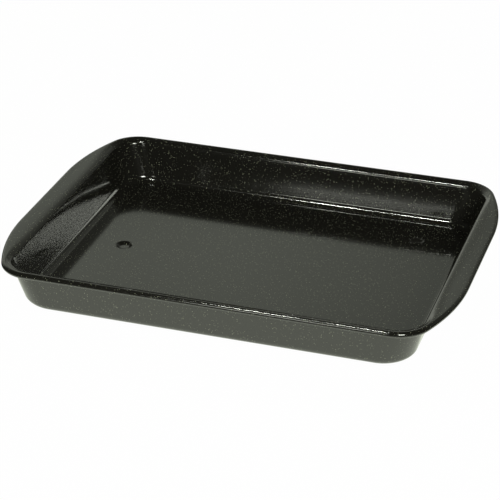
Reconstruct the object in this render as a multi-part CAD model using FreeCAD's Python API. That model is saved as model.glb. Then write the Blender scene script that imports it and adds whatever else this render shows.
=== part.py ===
import FreeCAD, Part
import math
import os

# An enamelled roasting pan, pressed from one steel sheet. A drafted basin with rounded
# corners runs over a tight fold into a rim that rises outward and rolls under at its edge.
# The rim widens at both ends into handle wings. Three shallow feet are pressed into the
# floor. The origin is on the resting plane, under the middle of the pan. X runs along the
# pan, through both wings, and Z is up.

# Overall sizes in millimetres
LENGTH = 400.0            # over the two handle wings
WIDTH = 300.0             # over the rolled edge of the long sides
SHEET = 1.0               # steel with its enamel

# Basin: the mouth is where the wall meets the rim
MOUTH_LENGTH = 357.0
RIM_WIDTH = 9.8           # from the mouth to the outer edge, on the long sides
MOUTH_HEIGHT = 40.2       # above the resting plane
MOUTH_CORNER = 23.8       # corner radius at the mouth
SIDE_DRAFT = 5.3          # how far the foot of a long wall lies inside the mouth
END_DRAFT = 9.9           # the same for the short walls
FLOOR_CORNER = 22.1       # corner radius of the flat floor
FLOOR_CURVE = 5.5         # reach of the curve from floor to wall
FOLD_CURVE = 1.8          # reach of the fold from wall to rim

# Rim, handle wings and rolled edge
RIM_SLOPE = 20.0          # degrees, where the rim leaves the fold
RIM_RISE = 2.3            # from the mouth to the top of the roll
RIM_RUN = 4.2             # how far the rim keeps that slope
RIM_LEVEL = 0.7           # how far it levels out before the roll
ROLL_RADIUS = 2.75        # outside of the rolled edge
ROLL_TURN = 215.0         # degrees that the sheet turns under
GRIP_LENGTH = 102.0       # straight part of each wing's edge
SHOULDER_ANGLE = 22.9     # degrees that the edge turns from the grip to the corner
RIM_CORNER = 31.1         # corner radius of the outer edge

# Feet pressed down into the floor
FOOT_HEIGHT = 2.1
FOOT_DIAMETER = 16.0      # where the slope starts
FOOT_FACE = 7.0           # flat face that stands on the surface
FOOT_END_GAP = 39.1       # from a foot's middle to the end of the flat floor
FOOT_SIDE_GAP = 40.5      # and to its long side

# Sizes that follow from these
MOUTH_WIDTH = WIDTH - 2 * RIM_WIDTH
FLOOR_TOP = FOOT_HEIGHT + SHEET
WALL_HEIGHT = MOUTH_HEIGHT - FLOOR_TOP
FOOT_X = MOUTH_LENGTH / 2 - END_DRAFT - FLOOR_CURVE - FOOT_END_GAP
FOOT_Y = MOUTH_WIDTH / 2 - SIDE_DRAFT - FLOOR_CURVE - FOOT_SIDE_GAP
SIDE_SLOPE = math.atan2(WALL_HEIGHT, SIDE_DRAFT)
END_SLOPE = math.atan2(WALL_HEIGHT, END_DRAFT)
SLOPE = math.radians(RIM_SLOPE)
RIM_TOP = MOUTH_HEIGHT + RIM_RISE
TURN = math.radians(SHOULDER_ANGLE)
CORNER_REST = math.pi / 2 - TURN
SHOULDER_END = WIDTH / 2 - RIM_CORNER * (1 - math.sin(TURN))
SHOULDER_RADIUS = (SHOULDER_END - GRIP_LENGTH / 2) / math.sin(TURN)
QUARTER = math.cos(math.pi / 4)

# The basin and the rim are bands of surface between closed rings. A ring is a list of spans,
# and a span is poles with weights: two for a straight run, three for an exact circular arc.
# All rings have the same twelve spans, so any two of them can carry a band.


def ring(shoulder, corner, height):
    """Close a ring from the shoulder and corner spans of the quarter where x and y are positive."""
    quarter = [shoulder, corner]
    spans = []
    for side_x, side_y in ((1, 1), (-1, 1), (-1, -1), (1, -1)):
        arcs = [[(side_x * x, side_y * y, w) for x, y, w in span] for span in quarter]
        if side_x * side_y < 0:
            arcs = [span[::-1] for span in arcs[::-1]]
        if spans:
            spans.append(straight(spans[-1][-1], arcs[0][0]))
        spans.extend(arcs)
    spans.append(straight(spans[-1][-1], spans[0][0]))
    return [[(FreeCAD.Vector(x, y, height), w) for x, y, w in span] for span in spans]


def straight(start, end):
    return [start, end]


def basin_ring(half_length, half_width, corner, height):
    """A rounded rectangle, with its end runs split where the wings' shoulders start."""
    corner_y = half_width - corner
    shoulder = straight((half_length, GRIP_LENGTH / 2, 1.0), (half_length, corner_y, 1.0))
    arc = [(half_length, corner_y, 1.0),
           (half_length, half_width, QUARTER),
           (half_length - corner, half_width, 1.0)]
    return ring(shoulder, arc, height)


def rim_ring(inset, height):
    """The outer edge's outline, moved inward by inset."""
    shoulder_radius = SHOULDER_RADIUS - inset
    corner_radius = RIM_CORNER - inset
    x0 = LENGTH / 2 - inset
    y0 = GRIP_LENGTH / 2
    x1 = x0 - shoulder_radius * (1 - math.cos(TURN))
    y1 = y0 + shoulder_radius * math.sin(TURN)
    x2 = x1 - corner_radius * math.cos(TURN)
    y2 = WIDTH / 2 - inset
    shoulder = [(x0, y0, 1.0),
                (x0, y0 + shoulder_radius * math.tan(TURN / 2), math.cos(TURN / 2)),
                (x1, y1, 1.0)]
    corner = [(x1, y1, 1.0),
              (x2 + corner_radius * math.tan(CORNER_REST / 2), y2, math.cos(CORNER_REST / 2)),
              (x2, y2, 1.0)]
    return ring(shoulder, corner, height)


def between(low, high, share):
    """The ring at a share of the way from one ring to another of the same kind."""
    return [[(p + (q - p) * share, w) for (p, w), (q, _) in zip(a, b)] for a, b in zip(low, high)]


def patch(rows):
    """One surface from rows of (span, weight), running from the first row to the last."""
    poles = max(len(span) for span, _ in rows)
    surface = Part.BezierSurface()
    surface.increase(len(rows) - 1, poles - 1)
    for i, (span, row_weight) in enumerate(rows, 1):
        if len(span) < poles:
            (start, _), (end, _) = span
            span = [(start, 1.0), ((start + end) / 2, 1.0), (end, 1.0)]
        for j, (pole, weight) in enumerate(span, 1):
            surface.setPole(i, j, pole)
            surface.setWeight(i, j, weight * row_weight)
    return surface.toShape()


def band(rings, weights):
    """The faces that follow a list of rings all round the pan."""
    return [patch(list(zip(spans, weights))) for spans in zip(*rings)]


def curved(before, at, after):
    """A band that turns the corner at the middle ring, tangent to both sides."""
    return band([before, at, after], [1.0, QUARTER, 1.0])


def skin(depth):
    """The basin and the rim of the skin that lies depth under the sheet's upper side.

    Returns the faces and the ring round the flat floor.
    """
    # Foot of the wall: floor and wall both move outward by depth
    side_shift = depth * math.tan(SIDE_SLOPE / 2)
    end_shift = depth * math.tan(END_SLOPE / 2)
    foot_half_length = MOUTH_LENGTH / 2 - END_DRAFT + end_shift
    foot_half_width = MOUTH_WIDTH / 2 - SIDE_DRAFT + side_shift
    foot_corner = FLOOR_CORNER + FLOOR_CURVE + side_shift
    floor_height = FLOOR_TOP - depth
    foot = basin_ring(foot_half_length, foot_half_width, foot_corner, floor_height)

    # Mouth: wall and rim both move by depth, so their meeting point drops a little
    drop = depth * math.cos((SIDE_SLOPE + SLOPE) / 2) / math.cos((SIDE_SLOPE - SLOPE) / 2)
    side_out = depth / math.sin(SIDE_SLOPE) - drop / math.tan(SIDE_SLOPE)
    end_out = depth / math.sin(END_SLOPE) - drop / math.tan(END_SLOPE)
    mouth_half_length = MOUTH_LENGTH / 2 + end_out
    mouth_half_width = MOUTH_WIDTH / 2 + side_out
    mouth_corner = MOUTH_CORNER + side_out
    mouth_height = MOUTH_HEIGHT - drop
    mouth = basin_ring(mouth_half_length, mouth_half_width, mouth_corner, mouth_height)

    def rim_start(run):
        return basin_ring(mouth_half_length + run * math.cos(SLOPE),
                          mouth_half_width + run * math.cos(SLOPE),
                          mouth_corner + run * math.cos(SLOPE),
                          mouth_height + run * math.sin(SLOPE))

    floor_curve = FLOOR_CURVE + side_shift
    fold_curve = FOLD_CURVE - drop
    floor_edge = basin_ring(foot_half_length - floor_curve, foot_half_width - floor_curve,
                            foot_corner - floor_curve, floor_height)
    wall_foot = between(foot, mouth, floor_curve / WALL_HEIGHT)
    wall_top = between(mouth, foot, fold_curve / WALL_HEIGHT)
    fold_end = rim_start(fold_curve)

    faces = curved(floor_edge, foot, wall_foot)
    faces += band([wall_foot, wall_top], [1.0, 1.0])
    faces += curved(wall_top, mouth, fold_end)

    # Rim: it leaves the fold at its slope and is level where the roll starts
    top = RIM_TOP - depth
    faces += band([fold_end, rim_start(fold_curve + RIM_RUN),
                   rim_ring(ROLL_RADIUS + RIM_LEVEL, top), rim_ring(ROLL_RADIUS, top)],
                  [1.0, 1.0, 1.0, 1.0])
    return faces, floor_edge


def roll_section():
    """Outer arc, lip and inner arc of the rolled sheet, drawn where a grip meets its shoulder."""
    centre = FreeCAD.Vector(LENGTH / 2 - ROLL_RADIUS, GRIP_LENGTH / 2, RIM_TOP - ROLL_RADIUS)

    def point(radius, share):
        angle = math.radians(ROLL_TURN * share)
        return centre + FreeCAD.Vector(math.sin(angle), 0, math.cos(angle)) * radius

    outer, inner = ROLL_RADIUS, ROLL_RADIUS - SHEET
    return [Part.Arc(point(outer, 0), point(outer, 0.5), point(outer, 1)).toShape(),
            Part.makeLine(point(outer, 1), point(inner, 1)),
            Part.Arc(point(inner, 1), point(inner, 0.5), point(inner, 0)).toShape()]


def rolled_edge():
    """The roll all round: its section swept along the grips, shoulders, corners and sides."""
    up = FreeCAD.Vector(0, 0, 1)
    shoulder_centre = FreeCAD.Vector(LENGTH / 2 - SHOULDER_RADIUS, GRIP_LENGTH / 2, 0)
    corner_x = shoulder_centre.x + (SHOULDER_RADIUS - RIM_CORNER) * math.cos(TURN)
    corner_centre = FreeCAD.Vector(corner_x, WIDTH / 2 - RIM_CORNER, 0)
    quarters, ends, sides = [], [], []
    for edge in roll_section():
        ends.append(edge.extrude(FreeCAD.Vector(0, -GRIP_LENGTH, 0)))
        quarters.append(edge.revolve(shoulder_centre, up, SHOULDER_ANGLE))
        edge.rotate(shoulder_centre, up, SHOULDER_ANGLE)
        spline = edge.toNurbs().Edges[0]
        quarters.append(spline.revolve(corner_centre, up, 90 - SHOULDER_ANGLE))
        edge.rotate(corner_centre, up, 90 - SHOULDER_ANGLE)
        sides.append(edge.extrude(FreeCAD.Vector(-2 * corner_x, 0, 0)))
    middle = FreeCAD.Vector(0, 0, 0)
    along = FreeCAD.Vector(1, 0, 0)
    across = FreeCAD.Vector(0, 1, 0)
    quarters += [face.mirror(middle, along) for face in quarters]
    quarters += [face.mirror(middle, across) for face in quarters]
    ends += [face.mirror(middle, along) for face in ends]
    sides += [face.mirror(middle, across) for face in sides]
    return quarters + ends + sides


def outline_wire(closed_ring):
    edges = []
    for span in closed_ring:
        curve = Part.BezierCurve()
        curve.setPoles([pole for pole, _ in span])
        for i, (_, weight) in enumerate(span, 1):
            curve.setWeight(i, weight)
        edges.append(curve.toShape())
    return Part.Wire(edges)


def foot_places():
    """One foot in the middle of one end, two at the corners of the other."""
    return [(-FOOT_X, 0.0), (FOOT_X, FOOT_Y), (FOOT_X, -FOOT_Y)]


def foot_skin(x, y, depth):
    """The sloped ring and the flat face of a foot, for the skin that lies depth down."""
    up = FreeCAD.Vector(0, 0, 1)
    height = FLOOR_TOP - depth
    face_height = height - FOOT_HEIGHT
    slope = Part.makeLine(FreeCAD.Vector(x + FOOT_DIAMETER / 2, y, height),
                          FreeCAD.Vector(x + FOOT_FACE / 2, y, face_height))
    face_edge = Part.makeCircle(FOOT_FACE / 2, FreeCAD.Vector(x, y, face_height), up)
    return [slope.revolve(FreeCAD.Vector(x, y, 0), up, 360), Part.Face(Part.Wire([face_edge]))]


def floor_skin(edge_ring, depth):
    """The flat floor with its holes, and the feet that fill them."""
    up = FreeCAD.Vector(0, 0, 1)
    height = FLOOR_TOP - depth
    holes = [Part.Wire([Part.makeCircle(FOOT_DIAMETER / 2, FreeCAD.Vector(x, y, height), up)])
             for x, y in foot_places()]
    faces = [Part.Face([outline_wire(edge_ring)] + [hole.reversed() for hole in holes])]
    for x, y in foot_places():
        faces += foot_skin(x, y, depth)
    return faces


def pan():
    """Upper and lower skin, closed by the rolled edge, as one solid sheet."""
    upper, upper_floor = skin(0.0)
    lower, lower_floor = skin(SHEET)
    faces = upper + lower + rolled_edge()
    faces += floor_skin(upper_floor, 0.0)
    faces += floor_skin(lower_floor, SHEET)
    shell = Part.Shell(faces)
    shell.sewShape()
    solid = Part.Solid(shell)
    if solid.Volume < 0:
        solid.reverse()
    return solid


os.makedirs("parts", exist_ok=True)
pan().exportStep("parts/pan.step")
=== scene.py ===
import math

import bmesh
import bpy
import numpy as np
from mathutils import Matrix, Vector


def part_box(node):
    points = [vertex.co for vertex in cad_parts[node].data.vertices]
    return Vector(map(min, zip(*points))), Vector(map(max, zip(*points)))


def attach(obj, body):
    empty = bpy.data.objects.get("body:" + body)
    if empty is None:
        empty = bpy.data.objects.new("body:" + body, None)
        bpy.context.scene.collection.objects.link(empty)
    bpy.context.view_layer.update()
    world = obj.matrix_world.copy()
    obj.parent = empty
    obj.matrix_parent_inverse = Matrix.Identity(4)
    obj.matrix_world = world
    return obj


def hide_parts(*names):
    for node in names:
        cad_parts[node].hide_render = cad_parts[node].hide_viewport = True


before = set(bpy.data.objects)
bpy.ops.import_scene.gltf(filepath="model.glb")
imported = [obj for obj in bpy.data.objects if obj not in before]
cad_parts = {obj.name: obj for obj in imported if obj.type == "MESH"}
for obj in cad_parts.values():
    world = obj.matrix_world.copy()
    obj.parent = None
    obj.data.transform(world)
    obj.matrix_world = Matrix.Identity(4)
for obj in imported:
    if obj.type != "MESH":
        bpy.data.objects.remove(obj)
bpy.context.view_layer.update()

# Pan sheet: one steel blank, pressed into a basin with drafted walls, folded out at the mouth
# into a rim that rises and widens into a handle wing at each end, and rolled under at its edge.
# Three feet are pressed into the floor. Sizes are in millimetres.
low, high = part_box("pan")
LENGTH = (high.x - low.x) * 1000
WIDTH = (high.y - low.y) * 1000
SHEET = 1.0
MOUTH_LENGTH = 357.0
RIM_WIDTH = 9.8
MOUTH_WIDTH = WIDTH - 2 * RIM_WIDTH
MOUTH_HEIGHT = 40.2
MOUTH_CORNER = 23.8
SIDE_DRAFT = 5.3
END_DRAFT = 9.9
FLOOR_CORNER = 22.1
FLOOR_CURVE = 5.5
FOLD_CURVE = 1.8
RIM_SLOPE = math.radians(20.0)
RIM_TOP = high.z * 1000
RIM_RUN = 4.2
RIM_LEVEL = 0.7
ROLL_RADIUS = 2.75
ROLL_TURN = math.radians(215.0)
GRIP_LENGTH = 102.0
SHOULDER_ANGLE = math.radians(22.9)
RIM_CORNER = 31.1
FOOT_HEIGHT = 2.1
FOOT_DIAMETER = 16.0
FOOT_FACE = 7.0
FEET = [(-124.0, 0.0), (124.0, 88.9), (124.0, -88.9)]
FLOOR_TOP = FOOT_HEIGHT + SHEET
WALL_HEIGHT = MOUTH_HEIGHT - FLOOR_TOP
SIDE_SLOPE = math.atan2(WALL_HEIGHT, SIDE_DRAFT)
END_SLOPE = math.atan2(WALL_HEIGHT, END_DRAFT)

STATIONS = {"grip": 16, "shoulder": 28, "corner": 36, "side": 40}


def along(poles, count):
    """Points, with their weight, of a straight run of two poles or an arc of three."""
    t = np.linspace(0, 1, count, endpoint=False)[:, None]
    poles = np.array([(x * w, y * w, w) for x, y, w in poles])
    if len(poles) == 2:
        return (1 - t) * poles[0] + t * poles[1]
    return (1 - t) ** 2 * poles[0] + 2 * t * (1 - t) * poles[1] + t ** 2 * poles[2]


def ring(shoulder, corner, height):
    """Closes a ring from the shoulder and the corner of the quarter where x and y are positive."""
    points = []
    last = None
    first = None
    for side_x, side_y in ((1, 1), (-1, 1), (-1, -1), (1, -1)):
        arcs = [([(side_x * x, side_y * y, w) for x, y, w in arc], name)
                for arc, name in ((shoulder, "shoulder"), (corner, "corner"))]
        if side_x * side_y < 0:
            arcs = [(arc[::-1], name) for arc, name in arcs[::-1]]
        start = arcs[0][0][0]
        if last is None:
            first = start
        else:
            points.append(along([last, start], STATIONS["side" if side_x * side_y < 0 else "grip"]))
        for arc, name in arcs:
            points.append(along(arc, STATIONS[name]))
        last = arcs[-1][0][-1]
    points.append(along([last, first], STATIONS["grip"]))
    flat = np.vstack(points)
    weight = flat[:, 2:]
    return np.hstack([flat[:, :2], weight * height, weight])


def basin_ring(half_length, half_width, corner, height):
    corner_y = half_width - corner
    shoulder = [(half_length, GRIP_LENGTH / 2, 1), (half_length, corner_y, 1)]
    bend = [(half_length, corner_y, 1), (half_length, half_width, math.cos(math.pi / 4)),
            (half_length - corner, half_width, 1)]
    return ring(shoulder, bend, height)


def rim_ring(inset, height):
    """The outer edge's outline, moved inward by inset."""
    turn = SHOULDER_ANGLE
    rest = math.pi / 2 - turn
    shoulder_end = WIDTH / 2 - RIM_CORNER * (1 - math.sin(turn))
    shoulder_radius = (shoulder_end - GRIP_LENGTH / 2) / math.sin(turn) - inset
    corner_radius = RIM_CORNER - inset
    x0, y0 = LENGTH / 2 - inset, GRIP_LENGTH / 2
    x1 = x0 - shoulder_radius * (1 - math.cos(turn))
    y1 = y0 + shoulder_radius * math.sin(turn)
    x2, y2 = x1 - corner_radius * math.cos(turn), WIDTH / 2 - inset
    shoulder = [(x0, y0, 1), (x0, y0 + shoulder_radius * math.tan(turn / 2), math.cos(turn / 2)),
                (x1, y1, 1)]
    bend = [(x1, y1, 1), (x2 + corner_radius * math.tan(rest / 2), y2, math.cos(rest / 2)),
            (x2, y2, 1)]
    return ring(shoulder, bend, height)


def solid_points(homogeneous):
    return homogeneous[:, :3] / homogeneous[:, 3:]


def band(rings, weights, rows):
    """Rows of points on the surface that a list of rings spans, without its last row."""
    degree = len(rings) - 1
    result = []
    for t in np.linspace(0, 1, rows, endpoint=False):
        row = sum(math.comb(degree, i) * t ** i * (1 - t) ** (degree - i) * weight * poles
                  for i, (poles, weight) in enumerate(zip(rings, weights)))
        result.append(solid_points(row))
    return result


def skin(depth):
    """Rows of points from the floor's edge to the end of the roll, depth under the upper side."""
    side_shift = depth * math.tan(SIDE_SLOPE / 2)
    end_shift = depth * math.tan(END_SLOPE / 2)
    foot_length = MOUTH_LENGTH / 2 - END_DRAFT + end_shift
    foot_width = MOUTH_WIDTH / 2 - SIDE_DRAFT + side_shift
    foot_corner = FLOOR_CORNER + FLOOR_CURVE + side_shift
    foot = basin_ring(foot_length, foot_width, foot_corner, FLOOR_TOP - depth)
    drop = depth * math.cos((SIDE_SLOPE + RIM_SLOPE) / 2) / math.cos((SIDE_SLOPE - RIM_SLOPE) / 2)
    side_out = depth / math.sin(SIDE_SLOPE) - drop / math.tan(SIDE_SLOPE)
    end_out = depth / math.sin(END_SLOPE) - drop / math.tan(END_SLOPE)

    def rim_start(run):
        out = run * math.cos(RIM_SLOPE)
        return basin_ring(MOUTH_LENGTH / 2 + end_out + out, MOUTH_WIDTH / 2 + side_out + out,
                          MOUTH_CORNER + side_out + out,
                          MOUTH_HEIGHT - drop + run * math.sin(RIM_SLOPE))

    mouth = rim_start(0)
    curve = FLOOR_CURVE + side_shift
    fold = FOLD_CURVE - drop
    floor_edge = basin_ring(foot_length - curve, foot_width - curve, foot_corner - curve,
                            FLOOR_TOP - depth)
    wall_foot = foot + (mouth - foot) * curve / WALL_HEIGHT
    wall_top = mouth + (foot - mouth) * fold / WALL_HEIGHT
    top = RIM_TOP - depth
    turned = [1, math.cos(math.pi / 4), 1]
    rows = band([floor_edge, foot, wall_foot], turned, 16)
    rows += band([wall_foot, wall_top], [1, 1], 4)
    rows += band([wall_top, mouth, rim_start(fold)], turned, 8)
    rows += band([rim_start(fold), rim_start(fold + RIM_RUN),
                  rim_ring(ROLL_RADIUS + RIM_LEVEL, top), rim_ring(ROLL_RADIUS, top)],
                 [1, 1, 1, 1], 14)
    centre = solid_points(rim_ring(ROLL_RADIUS, RIM_TOP - ROLL_RADIUS))
    outward = (solid_points(rim_ring(0, RIM_TOP - ROLL_RADIUS)) - centre) / ROLL_RADIUS
    roll = ROLL_RADIUS - depth
    for angle in np.linspace(0, ROLL_TURN, 25):
        rows.append(centre + outward * roll * math.sin(angle) + [0, 0, roll * math.cos(angle)])
    return rows


class SheetMesh:
    """Collects points and faces, in millimetres, and gives them to Blender in metres."""

    def __init__(self):
        self.points = []
        self.faces = []

    def add_row(self, row):
        start = len(self.points)
        self.points.extend(tuple(point) for point in row)
        return list(range(start, len(self.points)))

    def join(self, near, far):
        count = len(near)
        for i in range(count):
            j = (i + 1) % count
            self.faces.append((near[i], near[j], far[j], far[i]))


def foot_rows(x, y, depth):
    """Rings of a pressed foot, from the flat floor to its own flat face."""
    steps = 72
    turns = np.linspace(0, 2 * math.pi, steps, endpoint=False)
    rows = []
    flat_margin = 0.8
    start, end = FOOT_DIAMETER / 2, FOOT_FACE / 2
    radii = [start + flat_margin] + list(np.linspace(start, end, 10)) + [end * 0.6, end * 0.25]
    for radius in radii:
        share = min(max((start - radius) / (start - end), 0), 1)
        fall = FOOT_HEIGHT * (1 - math.cos(math.pi * share)) / 2
        height = FLOOR_TOP - depth - fall
        rows.append(np.column_stack([x + radius * np.cos(turns), y + radius * np.sin(turns),
                                     np.full(steps, height)]))
    return rows


def floor_rows(edge_row, inset):
    """The floor's edge, moved inward by inset, so that the flat floor shades flat."""
    corner_x = np.sign(edge_row[:, 0]) * (np.abs(edge_row[:, 0]).max() - FLOOR_CORNER)
    corner_y = np.sign(edge_row[:, 1]) * (np.abs(edge_row[:, 1]).max() - FLOOR_CORNER)
    x, y, z = edge_row.T
    centre = np.column_stack([np.where(np.abs(x) < np.abs(corner_x), x, corner_x),
                              np.where(np.abs(y) < np.abs(corner_y), y, corner_y), z])
    outward = edge_row - centre
    return edge_row - outward * inset / np.linalg.norm(outward, axis=1)[:, None]


def flat_fill(builder, outer, holes):
    """Faces of the flat floor between its outline and the feet."""
    mesh = bpy.data.meshes.new("floor_outline")
    loops = [outer] + holes
    used = [i for loop in loops for i in loop]
    place = {index: k for k, index in enumerate(used)}
    edges = [(place[loop[k]], place[loop[(k + 1) % len(loop)]]) for loop in loops
             for k in range(len(loop))]
    mesh.from_pydata([builder.points[i] for i in used], edges, [])
    flat = bmesh.new()
    flat.from_mesh(mesh)
    bmesh.ops.triangle_fill(flat, edges=flat.edges[:], use_beauty=True, normal=(0, 0, 1))
    for face in flat.faces:
        builder.faces.append(tuple(used[v.index] for v in face.verts))
    flat.free()
    bpy.data.meshes.remove(mesh)


FLAT_BORDER = 1.5
sheet = SheetMesh()
outline_rows = []
for depth in (0.0, SHEET):
    rows = skin(depth)
    rows.insert(0, floor_rows(rows[0], FLAT_BORDER))
    placed = [sheet.add_row(row) for row in rows]
    for near, far in zip(placed, placed[1:]):
        sheet.join(near, far)
    outline_rows.append(placed[-1])
    rims = []
    for x, y in FEET:
        foot = [sheet.add_row(row) for row in foot_rows(x, y, depth)]
        for near, far in zip(foot, foot[1:]):
            sheet.join(near, far)
        sheet.faces.append(tuple(foot[-1]))
        rims.append(foot[0])
    flat_fill(sheet, placed[0], rims)
sheet.join(outline_rows[0], outline_rows[1])

pan_mesh = bpy.data.meshes.new("pan_sheet")
pan_mesh.from_pydata([(x / 1000, y / 1000, z / 1000) for x, y, z in sheet.points], [], sheet.faces)
tidy = bmesh.new()
tidy.from_mesh(pan_mesh)
bmesh.ops.recalc_face_normals(tidy, faces=tidy.faces[:])
tidy.to_mesh(pan_mesh)
tidy.free()
pan_mesh.shade_smooth()
pan_sheet = bpy.data.objects.new("pan_sheet", pan_mesh)
bpy.context.scene.collection.objects.link(pan_sheet)


# Vitreous enamel, fired onto the steel: black glass with fine pale specks, and so glossy that
# most of what the eye sees of it is the room, softened by a slight ripple in the coat. The
# specks sit in cells 1.2 mm wide and are drawn up to 0.55 mm wide, coarser than the real ones.
def srgb(code):
    """The linear colour of a six-digit sRGB hex value."""
    levels = [int(code[i:i + 2], 16) / 255 for i in (0, 2, 4)]
    return [v / 12.92 if v <= 0.04045 else ((v + 0.055) / 1.055) ** 2.4 for v in levels] + [1]


def add_node(tree, kind, settings=None, inputs=None):
    """Adds a node, sets its properties, and sets or links its inputs."""
    node = tree.nodes.new(kind)
    for name, value in (settings or {}).items():
        setattr(node, name, value)
    for name, value in (inputs or {}).items():
        if isinstance(value, bpy.types.NodeSocket):
            tree.links.new(value, node.inputs[name])
        else:
            node.inputs[name].default_value = value
    return node


def new_material(name):
    material = bpy.data.materials.new(name)
    material.use_nodes = True
    material.node_tree.nodes.clear()
    return material, material.node_tree


enamel, tree = new_material("speckled_vitreous_enamel")
place = add_node(tree, "ShaderNodeTexCoord").outputs["Object"]
cells = add_node(tree, "ShaderNodeTexVoronoi", {"feature": "F1"},
                 {"Vector": place, "Scale": 1 / 0.0012, "Randomness": 1.0})
chance = add_node(tree, "ShaderNodeSeparateColor", None, {"Color": cells.outputs["Color"]})
reach = add_node(tree, "ShaderNodeMapRange", {"clamp": True},
                 {"Value": chance.outputs["Red"], "From Min": 0.3, "From Max": 1.0,
                  "To Min": 0.0, "To Max": 0.23}).outputs["Result"]
speck = add_node(tree, "ShaderNodeMath", {"operation": "LESS_THAN"},
                 {0: cells.outputs["Distance"], 1: reach}).outputs["Value"]
colour = add_node(tree, "ShaderNodeMix", {"data_type": "RGBA"}, {"Factor": speck})
colour.inputs["A"].default_value = srgb("201f1c")
colour.inputs["B"].default_value = srgb("bcbfa6")
ripple = add_node(tree, "ShaderNodeTexNoise", None,
                  {"Vector": place, "Scale": 1 / 0.03, "Detail": 2.0, "Roughness": 0.5})
bump = add_node(tree, "ShaderNodeBump", None,
                {"Height": ripple.outputs["Fac"], "Strength": 0.025, "Distance": 0.0005})
glass_coat = add_node(tree, "ShaderNodeBsdfPrincipled", None,
                      {"Base Color": colour.outputs["Result"], "Roughness": 0.11, "IOR": 1.8,
                       "Normal": bump.outputs["Normal"]})
add_node(tree, "ShaderNodeOutputMaterial", None, {"Surface": glass_coat.outputs["BSDF"]})
pan_mesh.materials.append(enamel)
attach(pan_sheet, "root")
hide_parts("pan")


# Studio table: matt white paper that runs on past the picture's edge and only takes the pan's
# soft shadow. It shows white to the camera. To the enamel's glossy rays it is a painted glow, a
# painted pool of light close to the pan and a painted dark farther out, which was fitted to the
# dark band along the photo's rolled rim.
bpy.ops.mesh.primitive_circle_add(vertices=96, radius=6.0, fill_type="NGON",
                                  location=(0, 0, -0.0002))
table = bpy.context.object
table.name = "table"
paper, tree = new_material("white_paper")
paper_face = add_node(tree, "ShaderNodeBsdfPrincipled", None,
                      {"Base Color": srgb("f4f4f4"), "Roughness": 0.9})
rays = add_node(tree, "ShaderNodeLightPath")
spot = add_node(tree, "ShaderNodeTexCoord").outputs["Object"]
# Painted pool of light: glossy rays see the paper glow near white in a rounded patch round the pan,
# and a painted dark outside it.
PAINTED_POOL_CORE = (0.16, 0.11, 0)
for operation, amount in (("ABSOLUTE", None), ("SUBTRACT", PAINTED_POOL_CORE), ("MAXIMUM", (0, 0, 0))):
    step = add_node(tree, "ShaderNodeVectorMath", {"operation": operation}, {0: spot})
    if amount:
        step.inputs[1].default_value = amount
    spot = step.outputs["Vector"]
away = add_node(tree, "ShaderNodeVectorMath", {"operation": "LENGTH"}, {0: spot})
painted_pool_mask = add_node(tree, "ShaderNodeMapRange", {"clamp": True},
               {"Value": away.outputs["Value"], "From Min": 0.083, "From Max": 0.098,
                "To Min": 1.0, "To Max": 0.0})
painted_pool_colour = add_node(tree, "ShaderNodeMix", {"data_type": "RGBA"}, {"Factor": painted_pool_mask.outputs["Result"]})
painted_pool_colour.inputs["A"].default_value = srgb("1c1c1a")
painted_pool_colour.inputs["B"].default_value = srgb("f5fbe9")
seen = add_node(tree, "ShaderNodeMath", {"operation": "MAXIMUM"},
                {0: rays.outputs["Is Camera Ray"], 1: rays.outputs["Is Glossy Ray"]})
share = add_node(tree, "ShaderNodeMath", {"operation": "MULTIPLY"},
                 {0: seen.outputs["Value"], 1: 0.99})
light = add_node(tree, "ShaderNodeMix", {"data_type": "RGBA"},
                 {"Factor": rays.outputs["Is Camera Ray"]})
tree.links.new(painted_pool_colour.outputs["Result"], light.inputs["A"])
light.inputs["B"].default_value = srgb("ffffff")
glow = add_node(tree, "ShaderNodeEmission", None,
                {"Color": light.outputs["Result"], "Strength": 1.0})
both = add_node(tree, "ShaderNodeMixShader", None, {"Fac": share.outputs["Value"]})
tree.links.new(paper_face.outputs["BSDF"], both.inputs[1])
tree.links.new(glow.outputs["Emission"], both.inputs[2])
add_node(tree, "ShaderNodeOutputMaterial", None, {"Surface": both.outputs["Shader"]})
table.data.materials.append(paper)

# Studio room: a pale backdrop with a darker band over it, a pale strip above that and a dark
# ceiling, darker to the right and in front. These shades were fitted by direction to what the
# photo's enamel mirrors, and aren't a measured room. To the camera it is white.
room = bpy.data.worlds.new("studio_room")
bpy.context.scene.world = room
room.use_nodes = True
tree = room.node_tree
tree.nodes.clear()
ray_direction = add_node(tree, "ShaderNodeTexCoord").outputs["Generated"]
axes = add_node(tree, "ShaderNodeSeparateXYZ", None, {"Vector": ray_direction})


def shades(value, stops):
    """A colour ramp from a list of positions with their colours."""
    node = add_node(tree, "ShaderNodeValToRGB", None, {"Fac": value})
    marks = node.color_ramp.elements
    for mark, (position, code) in zip(marks, (stops[0], stops[-1])):
        mark.position, mark.color = position, srgb(code)
    for position, code in stops[1:-1]:
        marks.new(position).color = srgb(code)
    return node.outputs["Color"]


by_height = shades(axes.outputs["Z"],
                   [(0.0, "8e9086"), (0.12, "c8ccbf"), (0.25, "fbfff0"), (0.34, "c0c4b6"),
                    (0.41, "a0a498"), (0.437, "e3e9d9"), (0.47, "dfe5d5"), (0.62, "a5a79c"),
                    (0.85, "4a4c45")])
from_right = add_node(tree, "ShaderNodeMapRange", None,
                      {"Value": axes.outputs["X"], "From Min": 1.0,
                       "From Max": -1.0}).outputs["Result"]
by_side = shades(from_right,
                 [(0.2, "6c6c6c"), (0.35, "8a8a8a"), (0.5, "a4a4a4"), (0.565, "aaaaaa"),
                  (0.635, "d5d5d5"), (0.665, "d2d2d2"), (0.725, "f4f4f4")])
from_front = add_node(tree, "ShaderNodeMapRange", None,
                      {"Value": axes.outputs["Y"], "From Min": -1.0,
                       "From Max": 1.0}).outputs["Result"]
by_depth = shades(from_front, [(0.35, "303030"), (0.6, "505050"), (0.8, "ffffff")])


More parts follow.
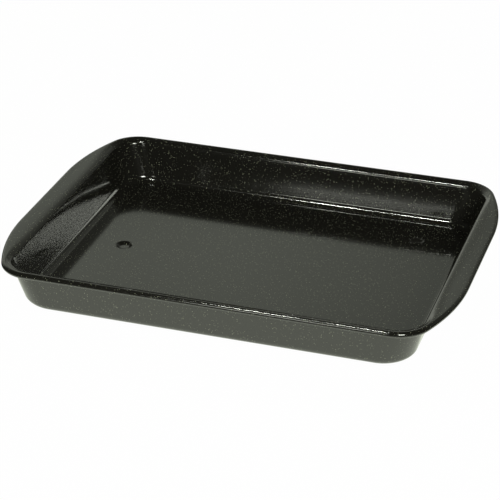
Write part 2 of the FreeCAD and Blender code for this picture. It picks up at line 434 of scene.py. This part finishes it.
def darkened(first, second):
    """One colour multiplied by another."""
    node = add_node(tree, "ShaderNodeMix", {"data_type": "RGBA", "blend_type": "MULTIPLY"},
                    {"Factor": 1.0})
    tree.links.new(first, node.inputs["A"])
    tree.links.new(second, node.inputs["B"])
    return node.outputs["Result"]


backdrop = darkened(darkened(by_height, by_side), by_depth)
rays = add_node(tree, "ShaderNodeLightPath")
seen = add_node(tree, "ShaderNodeMix", {"data_type": "RGBA"},
                {"Factor": rays.outputs["Is Camera Ray"]})
tree.links.new(backdrop, seen.inputs["A"])
seen.inputs["B"].default_value = (1, 1, 1, 1)
air = add_node(tree, "ShaderNodeBackground", None,
               {"Color": seen.outputs["Result"], "Strength": 1.0})
add_node(tree, "ShaderNodeOutputWorld", None, {"Surface": air.outputs["Background"]})


# Lamps: two small ones high at the front left, a low soft box in front, and a higher one at the
# front right. Their places come from where the photo's enamel mirrors them.
def soft_box(name, place, aim, width, height, power):
    lamp = bpy.data.lights.new(name, "AREA")
    lamp.shape = "RECTANGLE"
    lamp.size, lamp.size_y, lamp.energy = width, height, power
    lamp.color = srgb("f8fcef")[:3]
    box = bpy.data.objects.new(name, lamp)
    box.location = place
    box.rotation_euler = (Vector(aim) - Vector(place)).to_track_quat("-Z", "Y").to_euler()
    bpy.context.scene.collection.objects.link(box)


soft_box("left_lamp", (-0.37, -0.7, 1.5), (0, 0, 0), 0.11, 0.05, 3)
soft_box("right_lamp", (-0.18, -0.7, 1.5), (0, 0, 0), 0.11, 0.05, 3)
soft_box("front_soft_box", (-0.36, -1.85, 0.3), (0, 0, 0), 0.34, 0.3, 2.5)
soft_box("right_soft_box", (0.955, -1.53, 0.9), (0, 0, 0), 0.5, 0.5, 17)

# Camera at the photograph's viewing angle
AZIMUTH, ELEVATION, ROLL = math.radians(17.39), math.radians(27.01), math.radians(0.5)
AIM = Vector((-0.01558, 0.03168, 0))
DISTANCE = 1.77758
FOCAL_PIXELS = 1981.39
PHOTO_PIXELS = 500
back = Vector((math.sin(AZIMUTH) * math.cos(ELEVATION), -math.cos(AZIMUTH) * math.cos(ELEVATION),
               math.sin(ELEVATION)))
right = Vector((math.cos(AZIMUTH), math.sin(AZIMUTH), 0))
up = back.cross(right)
right_rolled = right * math.cos(ROLL) + up * math.sin(ROLL)
up_rolled = up * math.cos(ROLL) - right * math.sin(ROLL)
lens = bpy.data.cameras.new("photo_camera")
lens.sensor_width = 36
lens.lens = FOCAL_PIXELS * lens.sensor_width / PHOTO_PIXELS
lens.clip_end = 20
camera = bpy.data.objects.new("photo_camera", lens)
camera.matrix_world = Matrix.Translation(AIM + back * DISTANCE) @ Matrix(
    (right_rolled, up_rolled, back)).transposed().to_4x4()
bpy.context.scene.collection.objects.link(camera)
bpy.context.scene.camera = camera
bpy.context.scene.view_settings.view_transform = "Standard"
